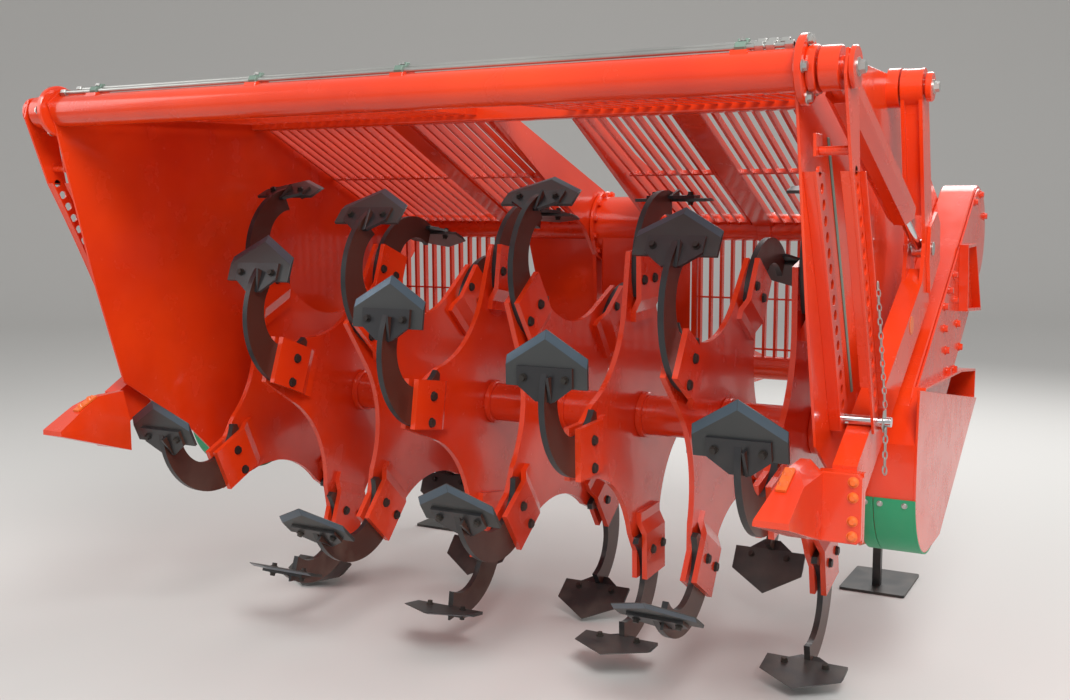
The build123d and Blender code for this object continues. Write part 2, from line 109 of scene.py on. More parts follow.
def fed(tree, node, values):
    """Node with each named input set to a value or linked from a socket."""
    for key, value in values.items():
        if isinstance(value, bpy.types.NodeSocket):
            tree.links.new(value, node.inputs[key])
        else:
            node.inputs[key].default_value = value
    return node


def added(tree, kind, values, **settings):
    """New node of a kind with its settings and inputs."""
    node = tree.nodes.new(kind)
    for key, value in settings.items():
        setattr(node, key, value)
    return fed(tree, node, values)


def mixed(tree, factor, a, b):
    """Colour mix whose inputs are sockets."""
    values = {"Factor": factor, 6: a, 7: b}
    return added(tree, "ShaderNodeMix", values, data_type="RGBA").outputs[2]


def ramp(tree, value, low, high):
    """Straightens a value so that low becomes 0 and high becomes 1."""
    values = {"Value": value, "From Min": low, "From Max": high}
    return added(tree, "ShaderNodeMapRange", values).outputs["Result"]


def noise(tree, vector, scale, detail=3.0):
    values = {"Vector": vector, "Scale": scale, "Detail": detail}
    return added(tree, "ShaderNodeTexNoise", values).outputs["Fac"]


def calculated(tree, operation, a, b):
    """Math node on two sockets or numbers."""
    return added(tree, "ShaderNodeMath", {0: a, 1: b}, operation=operation).outputs[0]


def worn_coat_group():
    """Coat with slow shade changes, dust that thickens towards the floor, and a fine surface grain."""
    group, inp, out = new_group(
        "Worn coat",
        (("Colour", "NodeSocketColor", (0.8, 0.1, 0.05, 1)),
         ("Shade", "NodeSocketColor", (0.6, 0.06, 0.03, 1)),
         ("Dust", "NodeSocketColor", (0.45, 0.36, 0.28, 1)),
         ("Dust amount", "NodeSocketFloat", 0.15),
         ("Gloss", "NodeSocketFloat", 0.25),
         ("Grain scale", "NodeSocketFloat", 220.0)),
        (("Colour", "NodeSocketColor"), ("Roughness", "NodeSocketFloat"),
         ("Height", "NodeSocketFloat")),
    )
    place = group.nodes.new("ShaderNodeTexCoord").outputs["Object"]
    slow = ramp(group, noise(group, place, 2.2), 0.35, 0.7)
    base = mixed(group, slow, inp.outputs["Colour"], inp.outputs["Shade"])
    height = added(group, "ShaderNodeSeparateXYZ", {0: place})
    low = ramp(group, height.outputs["Z"], 1.2, 0.0)
    patches = ramp(group, noise(group, place, 9.0, 6.0), 0.42, 0.75)
    dusty = calculated(group, "MULTIPLY", low, patches)
    share = calculated(group, "MULTIPLY", dusty, inp.outputs["Dust amount"])
    matt = calculated(group, "MULTIPLY", patches, 0.12)
    fed(group, out, {
        "Colour": mixed(group, share, base, inp.outputs["Dust"]),
        "Roughness": calculated(group, "ADD", matt, inp.outputs["Gloss"]),
        "Height": noise(group, place, inp.outputs["Grain scale"], 2.0),
    })
    return group


def flank_group():
    """Mask of faces that look along X, the flat sides of plates that stand across it; the tine coat uses it to
    place a painted reflection.
    """
    group, _, out = new_group("Flank", (), (("Mask", "NodeSocketFloat"),))
    normal = group.nodes.new("ShaderNodeNewGeometry").outputs["Normal"]
    parts = added(group, "ShaderNodeSeparateXYZ", {0: normal})
    sideways = calculated(group, "ABSOLUTE", parts.outputs["X"], 0.0)
    fed(group, out, {"Mask": ramp(group, sideways, 0.7, 0.85)})
    return group


COAT = worn_coat_group()
FLANK = flank_group()


def coated(name, colour, shade, gloss=0.25, metallic=0.0, coat=0.0, dust=0.15, grain=220.0,
           bump=0.05, side_reflection=None):
    """Material whose colour, roughness and grain come from the worn coat; a second colour, if given, is a painted
    reflection on faces that look along X.
    """
    material = bpy.data.materials.new(name)
    material.use_nodes = True
    tree = material.node_tree
    values = {"Colour": (*colour, 1), "Shade": (*shade, 1), "Dust amount": dust, "Gloss": gloss,
              "Grain scale": grain}
    # Painted reflection: faces that look along X take the second colour in place of the coat's own.
    if side_reflection is not None:
        mask = added(tree, "ShaderNodeGroup", {}, node_tree=FLANK)
        rim, side = (tree.nodes.new("ShaderNodeRGB").outputs[0] for _ in range(2))
        rim.default_value, side.default_value = (*colour, 1), (*side_reflection, 1)
        values["Colour"] = values["Shade"] = mixed(tree, mask.outputs["Mask"], rim, side)
    group = added(tree, "ShaderNodeGroup", values, node_tree=COAT)
    grain_bump = added(tree, "ShaderNodeBump", {
        "Strength": bump, "Distance": 0.001, "Height": group.outputs["Height"]})
    fed(tree, tree.nodes["Principled BSDF"], {
        "Base Color": group.outputs["Colour"], "Roughness": group.outputs["Roughness"],
        "Normal": grain_bump.outputs["Normal"], "Metallic": metallic, "Coat Weight": coat,
        "Coat Roughness": 0.06,
    })
    material.diffuse_color = (*colour, 1)
    return material


# Settings that a user would change
def tint(name, description, default):
    """Colour that a user can set."""
    return FloatVectorProperty(name=name, description=description, subtype="COLOR", size=3, min=0,
                               max=1, default=default)


def span(name, description, default):
    """Length in metres that a user can set."""
    return FloatProperty(name=name, description=description, unit="LENGTH", default=default)


class PaintSettings(bpy.types.PropertyGroup):
    """Colours of the machine's coats."""

    body: tint("Body paint", "Gloss paint of frame, panels and rotor plates", (0.80, 0.050, 0.006))
    body_shade: tint("Body shade", "Deeper tone that the body paint drifts to",
                     (0.66, 0.032, 0.005))
    # The brown on the tines' flat sides is a painted dark red reflection; the black of the rims is the coat's own
    # colour.
    tine: tint("Tine coat", "Black coat of the curved tines' rims", (0.014, 0.014, 0.016))
    tine_side_reflection: tint("Tine side reflection", "Brown of the curved tines' flat sides", (0.060, 0.020, 0.013))
    blade: tint("Blade steel", "Dark heat-treated steel of the spades", (0.040, 0.042, 0.042))
    # The blue in the ground edges' colour is a painted sky reflection; the lighter ground steel under it is real.
    ground: tint("Ground edge", "Bluish steel of the spades' ground edges", (0.085, 0.115, 0.145))
    wear: tint("Wear plate", "Green plastic under the side cases", (0.008, 0.330, 0.140))


class SpadeSettings(bpy.types.PropertyGroup):
    """Sizes of a spade's blade."""

    width: span("Width", "Blade's width across", 0.295)
    tip: span("Tip", "Blade's tip ahead of the tine's end", 0.133)
    shoulder: span("Shoulder", "Blade's corners ahead of the tine's end", 0.043)
    back: span("Back", "Blade's rear edge behind the tine's end", 0.055)
    thickness: span("Thickness", "Thickness of a blade", 0.012)
    bevel: span("Ground edge", "Width of a blade's ground edges", 0.027)
    bevel_drop: span("Edge drop", "Depth that the ground edges fall", 0.009)


class StageSettings(bpy.types.PropertyGroup):
    """Floor, light and camera."""

    floor: tint("Floor", "Colour of the floor and the sweep behind", (0.62, 0.61, 0.59))
    light: FloatProperty(
        name="Key light", description="Power of the large soft lamp", unit="POWER",
        min=0, default=420.0)
    sky: FloatProperty(
        name="Sky", description="Strength of the even light from all round", min=0, default=0.55)
    camera_place: FloatVectorProperty(
        name="Camera place", description="Where the camera stands", subtype="TRANSLATION",
        unit="LENGTH", size=3, default=(2.266, -4.2865, 1.733))
    heading: FloatProperty(
        name="Heading", description="Camera's turn to the left of the direction of travel",
        subtype="ANGLE", default=radians(28.42))
    dip: FloatProperty(
        name="Dip", description="How far the camera looks down", subtype="ANGLE",
        default=radians(7.13))
    roll: FloatProperty(
        name="Roll", description="Camera's turn about its own view", subtype="ANGLE",
        default=radians(-0.255))
    lens: FloatProperty(
        name="Lens", description="Focal length on a 36 mm film", min=10, default=40.2)


def finishes():
    """The machine's materials by name, made once."""
    if "Body paint" in bpy.data.materials:
        return bpy.data.materials
    tone = bpy.context.scene.spader_paint
    coated("Body paint", tone.body, tone.body_shade, gloss=0.20, coat=0.3)
    # Black coat; the brown on flat sides that look along X is a painted reflection.
    coated("Tine coat", tone.tine, tone.tine, gloss=0.34, coat=0.1, side_reflection=tone.tine_side_reflection)
    coated("Blade steel", tone.blade, tuple(c * 1.5 for c in tone.blade), gloss=0.36,
           metallic=0.4, grain=90.0)
    # Ground edges: real lighter ground steel, tinted blue as a painted sky reflection.
    coated("Ground edge", tone.ground, tuple(c * 1.3 for c in tone.ground), gloss=0.30,
           metallic=0.8, grain=400.0, bump=0.12)
    coated("Wear plate", tone.wear, tuple(c * 0.8 for c in tone.wear), gloss=0.40)
    coated("Zinc", (0.55, 0.55, 0.52), (0.42, 0.42, 0.40), gloss=0.32, metallic=0.9, dust=0.0)
    coated("Chrome", (0.72, 0.73, 0.75), (0.62, 0.63, 0.65), gloss=0.08, metallic=1.0, dust=0.0)
    coated("Black bolt", (0.018, 0.014, 0.013), (0.03, 0.025, 0.02), gloss=0.45, metallic=0.3)
    coated("Foot paint", (0.012, 0.012, 0.013), (0.022, 0.021, 0.02), gloss=0.35)
    coated("Clamp plastic", (0.17, 0.25, 0.20), (0.13, 0.20, 0.16), gloss=0.55, dust=0.0)
    # Painted sunlight: a lighter, more orange copy of the body paint, for the bracket strips, joint bolts and
    # plugs.
    coated("Painted sunlit red", (0.85, 0.16, 0.02), (0.75, 0.12, 0.015), gloss=0.35, coat=0.2)
    return bpy.data.materials


SLOT_FINISH = {
    "frame_red": "Body paint",
    "tine_dark": "Tine coat",
    "blade_steel": "Blade steel",
    "bare_steel": "Zinc",
    "chrome_rod": "Chrome",
    "foot_black": "Foot paint",
    "gearbox_dark": "Body paint",
}


class SPADER_OT_paint(bpy.types.Operator):
    """Give every piece of the frame its finish"""

    bl_idname = "spader.paint"
    bl_label = "Paint the frame"

    def execute(self, context):
        made = finishes()
        slots = {s["node"]: s["material_slot"] for s in frame["record"]["subparts"]}
        for name, node in frame["nodes"].items():
            node.data.materials.clear()
            node.data.materials.append(made[SLOT_FINISH[slots[name]]])
        return {"FINISHED"}


# Shapes, drawn in millimetres
def around(centre, radius, a):
    """Point on a circle at an angle."""
    return centre[0] + radius * cos(a), centre[1] + radius * sin(a)


def circle_points(centre, radius, steps=40, turn=0.0):
    return [around(centre, radius, turn + tau * k / steps) for k in range(steps)]


def arc_points(first, middle, last, steps=16):
    """Points of the arc through three points."""
    (ax, ay), (bx, by), (cx, cy) = first, middle, last
    d = 2 * (ax * (by - cy) + bx * (cy - ay) + cx * (ay - by))
    a, b, c = ax * ax + ay * ay, bx * bx + by * by, cx * cx + cy * cy
    ux = (a * (by - cy) + b * (cy - ay) + c * (ay - by)) / d
    uy = (a * (cx - bx) + b * (ax - cx) + c * (bx - ax)) / d
    start = atan2(ay - uy, ax - ux)
    sweep = (atan2(cy - uy, cx - ux) - start) % tau
    if (atan2(by - uy, bx - ux) - start) % tau > sweep:
        sweep -= tau
    radius = hypot(ax - ux, ay - uy)
    return [around((ux, uy), radius, start + sweep * k / steps) for k in range(steps + 1)]


def rounded_ends(low, high, radius, steps=24):
    """Outline round two centres at one radius."""
    along = atan2(high[1] - low[1], high[0] - low[0])
    points = []
    for centre, start in ((high, along - pi / 2), (low, along + pi / 2)):
        for k in range(steps + 1):
            points.append(around(centre, radius, start + pi * k / steps))
    return points


def as_mesh(built, mesh, place=None):
    """Writes what was built into a mesh, and moves it to its place."""
    built.to_mesh(mesh)
    built.free()
    if place is not None:
        mesh.transform(place)
    return mesh


def placed(mesh, place):
    """Copy of a mesh at another place."""
    copy = mesh.copy()
    copy.transform(place)
    return copy


def plate(outline, low, high, cuts=(), plane=SIDE, edge=1.0):
    """Flat plate between two depths of a plane, with openings and a softened edge."""
    curve = bpy.data.curves.new("plate", "CURVE")
    curve.dimensions = "2D"
    curve.fill_mode = "BOTH"
    curve.extrude = (abs(high - low) / 2 - edge) * MM
    curve.bevel_depth = edge * MM
    curve.bevel_resolution = 0
    curve.offset = -edge * MM
    for loop in (outline, *cuts):
        spline = curve.splines.new("POLY")
        spline.points.add(len(loop) - 1)
        for point, (u, v) in zip(spline.points, loop):
            point.co = (u * MM, v * MM, 0, 1)
        spline.use_cyclic_u = True
    shape = bpy.data.objects.new("plate", curve)
    mesh = bpy.data.meshes.new_from_object(shape)
    bpy.data.objects.remove(shape)
    built = bmesh.new()
    built.from_mesh(mesh)
    bmesh.ops.remove_doubles(built, verts=built.verts, dist=0.00002)
    bmesh.ops.recalc_face_normals(built, faces=built.faces)
    return as_mesh(built, mesh, plane @ Matrix.Translation((0, 0, (low + high) / 2 * MM)))


def turned(profile, place, steps=32):
    """Round solid from (radius, height) points in millimetres, about a place's own Z."""
    mesh = bpy.data.meshes.new("turned")
    built = bmesh.new()
    rings = []
    for radius, height in profile:
        angles = [tau * k / steps for k in range(steps if radius else 1)]
        rings.append([
            built.verts.new((radius * MM * cos(a), radius * MM * sin(a), height * MM)) for a in angles
        ])
    for low, high in zip(rings, rings[1:]):
        for k in range(steps):
            n = (k + 1) % steps
            corners = [low[k % len(low)], low[n % len(low)], high[n % len(high)], high[k % len(high)]]
            unique = list(dict.fromkeys(corners))
            if len(unique) > 2:
                built.faces.new(unique)
    bmesh.ops.recalc_face_normals(built, faces=built.faces)
    return as_mesh(built, mesh, place)


def disc(centre, radius, low, high, edge=1.5, steps=40):
    """Round solid along X about a side view's point, its rims softened."""
    low, high = sorted((low, high))
    place = SIDE @ Matrix.Translation((centre[0] * MM, centre[1] * MM, 0))
    profile = [(0, low), (radius - edge, low), (radius, low + edge), (radius, high - edge),
               (radius - edge, high), (0, high)]
    return turned(profile, place, steps)


def bar(start, end, width, height, x):
    """Flat bar from one side-view point to another, its width across X."""
    length = hypot(end[0] - start[0], end[1] - start[1])
    v = ((start[1] - end[1]) / length * height / 2, (end[0] - start[0]) / length * height / 2)
    outline = [(start[0] - v[0], start[1] - v[1]), (end[0] - v[0], end[1] - v[1]),
               (end[0] + v[0], end[1] + v[1]), (start[0] + v[0], start[1] + v[1])]
    return plate(outline, x - width / 2, x + width / 2)


def solid(points, faces, marked=()):
    """Closed mesh from points in metres; faces listed in marked get the second material."""
    mesh = bpy.data.meshes.new("solid")
    mesh.from_pydata([tuple(p) for p in points], [], faces)
    for k in marked:
        mesh.polygons[k].material_index = 1
    built = bmesh.new()
    built.from_mesh(mesh)
    bmesh.ops.recalc_face_normals(built, faces=built.faces)
    bmesh.ops.bevel(built, geom=built.edges[:], offset=0.0008, segments=1, affect="EDGES")
    return as_mesh(built, mesh)


def cut(mesh, point, normal):
    """Takes away what lies past a plane, and closes the cut."""
    built = bmesh.new()
    built.from_mesh(mesh)
    sliced = bmesh.ops.bisect_plane(
        built, geom=built.verts[:] + built.edges[:] + built.faces[:], plane_co=point,
        plane_no=normal, clear_outer=True,
    )
    edges = [g for g in sliced["geom_cut"] if isinstance(g, bmesh.types.BMEdge)]
    bmesh.ops.holes_fill(built, edges=edges, sides=0)
    return as_mesh(built, mesh)


def piece(name, meshes, materials, body, replaces=()):
    """One object at the origin from meshes that are already in place."""
    built = bmesh.new()
    for mesh in meshes:
        built.from_mesh(mesh)
    whole = as_mesh(built, bpy.data.meshes.new(name))
    for face in whole.polygons:
        face.use_smooth = True
    whole.set_sharp_from_angle(angle=radians(30))
    for material in materials:
        whole.materials.append(finishes()[material])
    thing = bpy.data.objects.new(name, whole)
    bpy.context.collection.objects.link(thing)
    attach(thing, body)
    if replaces:
        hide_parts(*replaces)


def frame_piece(name, meshes, replaces=()):
    """Red piece that stands with the frame."""
    piece(name, meshes, ["Body paint"], "frame", replaces)


# Node trees for what repeats
def grown(tree, source, values):
    """Plain mesh that a node tree makes from a source mesh, with its inputs by name."""
    holder = bpy.data.objects.new("holder", source)
    bpy.context.collection.objects.link(holder)
    modifier = holder.modifiers.new("Grow", "NODES")
    modifier.node_group = tree
    for item in tree.interface.items_tree:
        if item.in_out == "INPUT" and item.name in values:
            modifier[item.identifier] = values[item.name]
    graph = bpy.context.evaluated_depsgraph_get()
    mesh = bpy.data.meshes.new_from_object(holder.evaluated_get(graph))
    holder.modifiers.remove(modifier)
    bpy.data.objects.remove(holder)
    return mesh


def growing_tree(name, inputs):
    """Empty node tree with its ends, and inputs as (name, type, default)."""
    tree = bpy.data.node_groups.new(name, "GeometryNodeTree")
    tree.interface.new_socket(name="Geometry", in_out="INPUT", socket_type="NodeSocketGeometry")
    for label, kind, default in inputs:
        socket = tree.interface.new_socket(name=label, in_out="INPUT", socket_type=kind)
        if default is not None:
            socket.default_value = default
    tree.interface.new_socket(name="Geometry", in_out="OUTPUT", socket_type="NodeSocketGeometry")
    return tree, tree.nodes.new("NodeGroupInput"), tree.nodes.new("NodeGroupOutput")


def finish_tree(tree, instances, inp, out):
    """Ends a tree: instances made real, then the material."""
    real = added(tree, "GeometryNodeRealizeInstances", {"Geometry": instances})
    colour = added(tree, "GeometryNodeSetMaterial", {
        "Geometry": real.outputs["Geometry"], "Material": inp.outputs["Material"]})
    fed(tree, out, {"Geometry": colour.outputs["Geometry"]})


def fastener_tree():
    """A washer and a head at each point, along the point's axis."""
    tree, inp, out = growing_tree("Fasteners", (
        ("Corners", "NodeSocketInt", 6), ("Head radius", "NodeSocketFloat", 0.011),
        ("Head height", "NodeSocketFloat", 0.009), ("Head taper", "NodeSocketFloat", 0.88),
        ("Washer radius", "NodeSocketFloat", 0.014),
        ("Washer thickness", "NodeSocketFloat", 0.003), ("Material", "NodeSocketMaterial", None),
    ))
    given = inp.outputs
    head = added(tree, "GeometryNodeMeshCone", {
        "Vertices": given["Corners"], "Radius Bottom": given["Head radius"],
        "Radius Top": calculated(tree, "MULTIPLY", given["Head radius"], given["Head taper"]),
        "Depth": given["Head height"]})
    washer = added(tree, "GeometryNodeMeshCone", {
        "Vertices": 20, "Radius Bottom": given["Washer radius"],
        "Radius Top": given["Washer radius"], "Depth": given["Washer thickness"]})
    rise = added(tree, "ShaderNodeCombineXYZ", {"Z": given["Washer thickness"]})
    lifted = added(tree, "GeometryNodeTransform", {
        "Geometry": head.outputs["Mesh"], "Translation": rise.outputs[0]})
    both = added(tree, "GeometryNodeJoinGeometry", {"Geometry": lifted.outputs["Geometry"]})
    fed(tree, both, {"Geometry": washer.outputs["Mesh"]})
    axis = added(tree, "GeometryNodeInputNamedAttribute", {"Name": "axis"},
                 data_type="FLOAT_VECTOR")
    aim = added(tree, "FunctionNodeAlignRotationToVector",
                {"Vector": axis.outputs["Attribute"]}, axis="Z")
    spread = added(tree, "GeometryNodeInstanceOnPoints", {
        "Points": given["Geometry"], "Instance": both.outputs["Geometry"],
        "Rotation": aim.outputs["Rotation"]})
    finish_tree(tree, spread.outputs["Instances"], inp, out)
    return tree


def row_tree():
    """Copies of a mesh in a straight row."""
    tree, inp, out = growing_tree("Row", (
        ("Count", "NodeSocketInt", 10), ("Step", "NodeSocketVector", (0.052, 0, 0)),
        ("Material", "NodeSocketMaterial", None),
    ))
    line = added(tree, "GeometryNodeMeshLine", {
        "Count": inp.outputs["Count"], "Offset": inp.outputs["Step"]})
    spread = added(tree, "GeometryNodeInstanceOnPoints", {
        "Points": line.outputs["Mesh"], "Instance": inp.outputs["Geometry"]})
    finish_tree(tree, spread.outputs["Instances"], inp, out)
    return tree


FASTENERS = fastener_tree()
ROW = row_tree()

# Fasteners by their tree's inputs, lengths in metres
KIND_LABELS = ("Corners", "Head radius", "Head height", "Head taper", "Washer radius",
               "Washer thickness")
KINDS = {
    "spade": (6, 0.0115, 0.011, 0.90, 0.014, 0.003),
    "cheek": (6, 0.0175, 0.009, 0.92, 0.019, 0.001),
    "hex": (6, 0.013, 0.011, 0.90, 0.017, 0.003),
    "large": (6, 0.019, 0.016, 0.90, 0.024, 0.004),
    "small": (6, 0.008, 0.007, 0.90, 0.011, 0.002),
    "dome": (20, 0.014, 0.009, 0.55, 0.016, 0.002),
    "screw": (16, 0.009, 0.003, 0.80, 0.010, 0.001),
}


def fasteners(name, spots, kind, material="Zinc", body="frame"):
    """Row of like fasteners at (place, axis) spots, as one piece."""
    points = bpy.data.meshes.new("spots")
    points.from_pydata([tuple(place) for place, _ in spots], [], [])
    held = points.attributes.new("axis", "FLOAT_VECTOR", "POINT")
    for entry, (_, axis) in zip(held.data, spots):
        entry.vector = axis
    values = dict(zip(KIND_LABELS, KINDS[kind]), Material=finishes()[material])
    piece(name, [grown(FASTENERS, points, values)], [material], body)


def spot(x, y, z, axis):
    """Place and direction of a fastener, from millimetres about the rotor's axis."""
    return SIDE @ Vector((y * MM, z * MM, x * MM)), Vector(axis)


def spade_places():
    """Place of each spade: +Y runs out along its arm from the rotor's axis."""
    for i, turn in enumerate(ORDER):
        middle = Matrix.Translation((((len(ORDER) - 1) / 2 - i) * PITCH * MM, AXIS.y, AXIS.z))
        for k in range(4):
            yield middle @ Matrix.Rotation(radians(FIRST_ARM - turn * STAGGER + 90 * k), 4, "X")


class SPADER_OT_spades(bpy.types.Operator):
    """Ground blades, gussets, bolts of blades and cheeks, and the tube's welded collars"""

    bl_idname = "spader.spades"
    bl_label = "Spades"

    def execute(self, context):
        sizes = context.scene.spader_spade
        end = Vector((0, BLADE_R * cos(BLADE_LEAD) * MM, -BLADE_R * sin(BLADE_LEAD) * MM))

        def local(u, s, w):
            """Point across, ahead of the tine's end and outside the blade, in metres."""
            return end + Vector((u, w, -s))

        half = sizes.width / 2
        step = sizes.bevel * hypot(half, sizes.tip - sizes.shoulder) / half
        outer = [(0, sizes.tip - step), (half, sizes.shoulder - step), (half, -sizes.back),
                 (-half, -sizes.back), (-half, sizes.shoulder - step)]
        rim = [(0, sizes.tip), (half, sizes.shoulder), (-half, sizes.shoulder)]
        inner = [(0, sizes.tip), (half, sizes.shoulder), (half, -sizes.back), (-half, -sizes.back),
                 (-half, sizes.shoulder)]
        points = [local(u, s, 0) for u, s in outer]
        points += [local(u, s, -sizes.bevel_drop) for u, s in rim]
        points += [local(u, s, -sizes.thickness) for u, s in inner]
        faces = [(0, 1, 2, 3, 4), (0, 5, 6, 1), (0, 4, 7, 5), (5, 8, 9, 6), (5, 7, 12, 8),
                 (1, 6, 9, 10, 2), (4, 3, 11, 12, 7), (2, 10, 11, 3), (8, 12, 11, 10, 9)]
        blade = solid(points, faces, marked=(1, 2))
        # The tine's welded plate over the blade, and the fin beside the tine, in metres
        plate_w, bolt_across, bolt_back = 0.012, 0.075, 0.025
        fin = [local(x, s, w) for x in (0.017, 0.027) for s, w in (
            (-0.016, plate_w), (-0.016, 0.036), (-0.104, plate_w))]
        gusset = solid(fin, [(0, 1, 2), (3, 5, 4), (0, 3, 4, 1), (1, 4, 5, 2), (2, 5, 3, 0)])

        places = list(spade_places())
        # The blades' ground faces take the ground edge finish, whose blue tint is a painted sky reflection.
        piece("blades", [placed(blade, p) for p in places], ["Blade steel", "Ground edge"],
              "rotor", ["spade_blades"])
        piece("gussets", [placed(gusset, p) for p in places], ["Tine coat"], "rotor")

        heads, nuts, cheeks = [], [], []
        for p in places:
            turn = p.to_3x3()
            for u in (-bolt_across, bolt_across):
                heads.append((p @ local(u, -bolt_back, plate_w), turn @ Vector((0, 1, 0))))
                nuts.append((p @ local(u, -bolt_back, -sizes.thickness), turn @ Vector((0, -1, 0))))
            for up in CHEEK_BOLTS_UP:
                for out in (-1, 1):
                    place = p @ Vector((out * CHEEK_FACE * MM, CHEEK_BOLT_OUT * MM, up * MM))
                    cheeks.append((place, Vector((out, 0, 0))))
        fasteners("blade_bolts", heads, "spade", "Black bolt", "rotor")
        fasteners("blade_nuts", nuts, "spade", "Black bolt", "rotor")
        fasteners("cheek_bolts", cheeks, "cheek", "Black bolt", "rotor")

        collars = []
        for i in range(len(ORDER)):
            x = ((len(ORDER) - 1) / 2 - i) * PITCH
            collars.append(disc((0, 0), COLLAR_R, x - COLLAR_BACK, x + COLLAR_FRONT, edge=4))
        piece("collars", collars, ["Body paint"], "rotor")
        return {"FINISHED"}


# Grilles as (name, upper member, lower member, crossbars, left inner edge, right inner edge)
BAR_W, BAR_H, BAR_PITCH, CROSSBAR_SHARE = 12.0, 30.0, 52.0, 0.012
RIB_X, RIB_W, POST_W = 640.0, 90.0, 24.0
SADDLE_R, SADDLE_W = 68.0, 66.0
GRILLES = (
    ("top_grille", TOP_TUBE, UNDER_BEAM, (0.33, 0.67), 195.0, 195.0),
    ("upper_grille", UNDER_BEAM, CROSS_TUBE, (0.5, 0.93), 195.0, 195.0),
    ("lower_grille", CROSS_TUBE, LOWER_TUBE, (0.5, 0.86), 620.0, 300.0),
)


class SPADER_OT_grilles(bpy.types.Operator):
    """Bars side by side with their crossbars, ribs and posts"""

    bl_idname = "spader.grilles"
    bl_label = "Grilles"

    def execute(self, context):
        for name, start, end, shares, left_edge, right_edge in GRILLES:
            for side, x0, x1 in (("left", -PANEL_X, -left_edge), ("right", right_edge, PANEL_X)):
                count = round((x1 - x0) / BAR_PITCH)
                step = (x1 - x0) / count
                one = bar(start, end, BAR_W, BAR_H, x0 + step / 2)
                values = {"Count": count, "Step": (step * MM, 0.0, 0.0),
                          "Material": finishes()["Body paint"]}
                parts = [grown(ROW, one, values)]
                for share in shares:
                    a, b = ([s + (e - s) * at for s, e in zip(start, end)]
                            for at in (share, share + CROSSBAR_SHARE))
                    parts.append(bar(a, b, x1 - x0, BAR_H * 0.6, (x0 + x1) / 2))
                inner = x0 if side == "right" else x1
                if name == "upper_grille":
                    rib = RIB_X if side == "right" else -RIB_X
                    parts.append(bar(start, end, RIB_W, BAR_H + SHEET, rib))
                if name == "lower_grille":
                    parts.append(bar(start, end, POST_W, BAR_H + SHEET, inner))
                frame_piece(f"{name}_bars_{side}", parts, [f"{name}_{side}"])
        saddles = [disc(CROSS_TUBE, SADDLE_R, x - SADDLE_W / 2, x + SADDLE_W / 2, edge=3)
                   for x in (-RIB_X, RIB_X)]
        frame_piece("saddles", saddles)
        return {"FINISHED"}


class SPADER_OT_mast(bpy.types.Operator):
    """Mast plates, front plates and the round gearbox between them"""

    bl_idname = "spader.mast"
    bl_label = "Mast and gearbox"

    def execute(self, context):
        bore, tie, near = (1320.0, 695.0), (1240.0, 700.0), UNDER_BEAM[0] + 40
        outline = [
            (near, 1205), (1200, 800), (1290, 755), (1290, 645), (1180, 560), (1095, 62), (955, 62),
            (940, 560), (820, 690), (near, 1125),
        ]
        lug = [(tie[0], tie[1] + 45), (1345, 735), (1365, 695), (1345, 655), (tie[0], tie[1] - 45)]
        parts = [disc(tie, 38, -175, 175)]
        for sign in (-1, 1):
            parts.append(plate(outline, sign * 165, sign * 185, [circle_points(CROSS_TUBE, 60)]))
            parts.append(plate(lug, sign * 35, sign * 55, [circle_points(bore, 16)]))
        shield = [(-576, 640), (-185, 640), (-185, 225), (-320, 205), (-400, 210), (-455, 230),
                  (-493, 262)]
        strip = [(185, 640), (274, 640), (274, 102), (185, 102)]
        for corners in (shield, strip):
            parts.append(plate(corners, -1021, -1029, plane=FRONT))
        frame_piece("mast", parts, ["headstock"])

        box = [disc(CROSS_TUBE, 140, -163, 163, edge=6)]
        box += [disc(CROSS_TUBE, 165, x, x + 18, edge=3) for x in (-163, 145)]
        body = [(915, 350), (895, 400), (895, 690), (1175, 690), (1175, 350)]
        box.append(plate(body, -120, 120, edge=12))
        piece("gearbox_housing", box, ["Body paint"], "frame", ["gearbox"])
        flange = []
        for y, z in circle_points(CROSS_TUBE, 153, 12, pi / 12):
            flange += [spot(-145, y, z, (1, 0, 0)), spot(145, y, z, (-1, 0, 0))]
        fasteners("gearbox_bolts", flange, "hex", "Body paint", "frame")
        return {"FINISHED"}


# Hole row of the depth pin, and the side panel's outline, as (y, z)
ROW_LINE = ((-1001.0, 886.0), (-848.0, 586.0), (-667.8, 170.3))
ROW_HALF, ROW_HOLE_R = 42.0, 15.0
PIVOT_RING_R, PIVOT_RING_W = 92.0, 22.0
PANEL = [
    (-1135, 1170), (-1105, 1089), (-957, 495), (-842, 112), (-719, 30), (-518, -109),
    (-380, -241), (-250, -330), (-50, -366), (300, -300), (1085, 0), (1085, 740),
    (980, 790), (60, 1225), (-1070, 1225),
]


def strip_outline(back, front):
    """Outline of a strip along the hole row, from back to front of it."""
    past = (ROW_LINE[2][0] + 15, ROW_LINE[2][1] - 34)
    first = arc_points(*[(y + back, z) for y, z in ROW_LINE])
    second = arc_points(*[(y + front, z) for y, z in ROW_LINE])
    return [*first, (past[0] + back, past[1]), (past[0] + front, past[1]), *second[::-1]]


# A chain link's wire, half its width and half its length, in millimetres
LINK_WIRE, LINK_W, LINK_L = 2.2, 5.5, 13.0
LINK_STEPS, LINK_SIDES = 10, 5


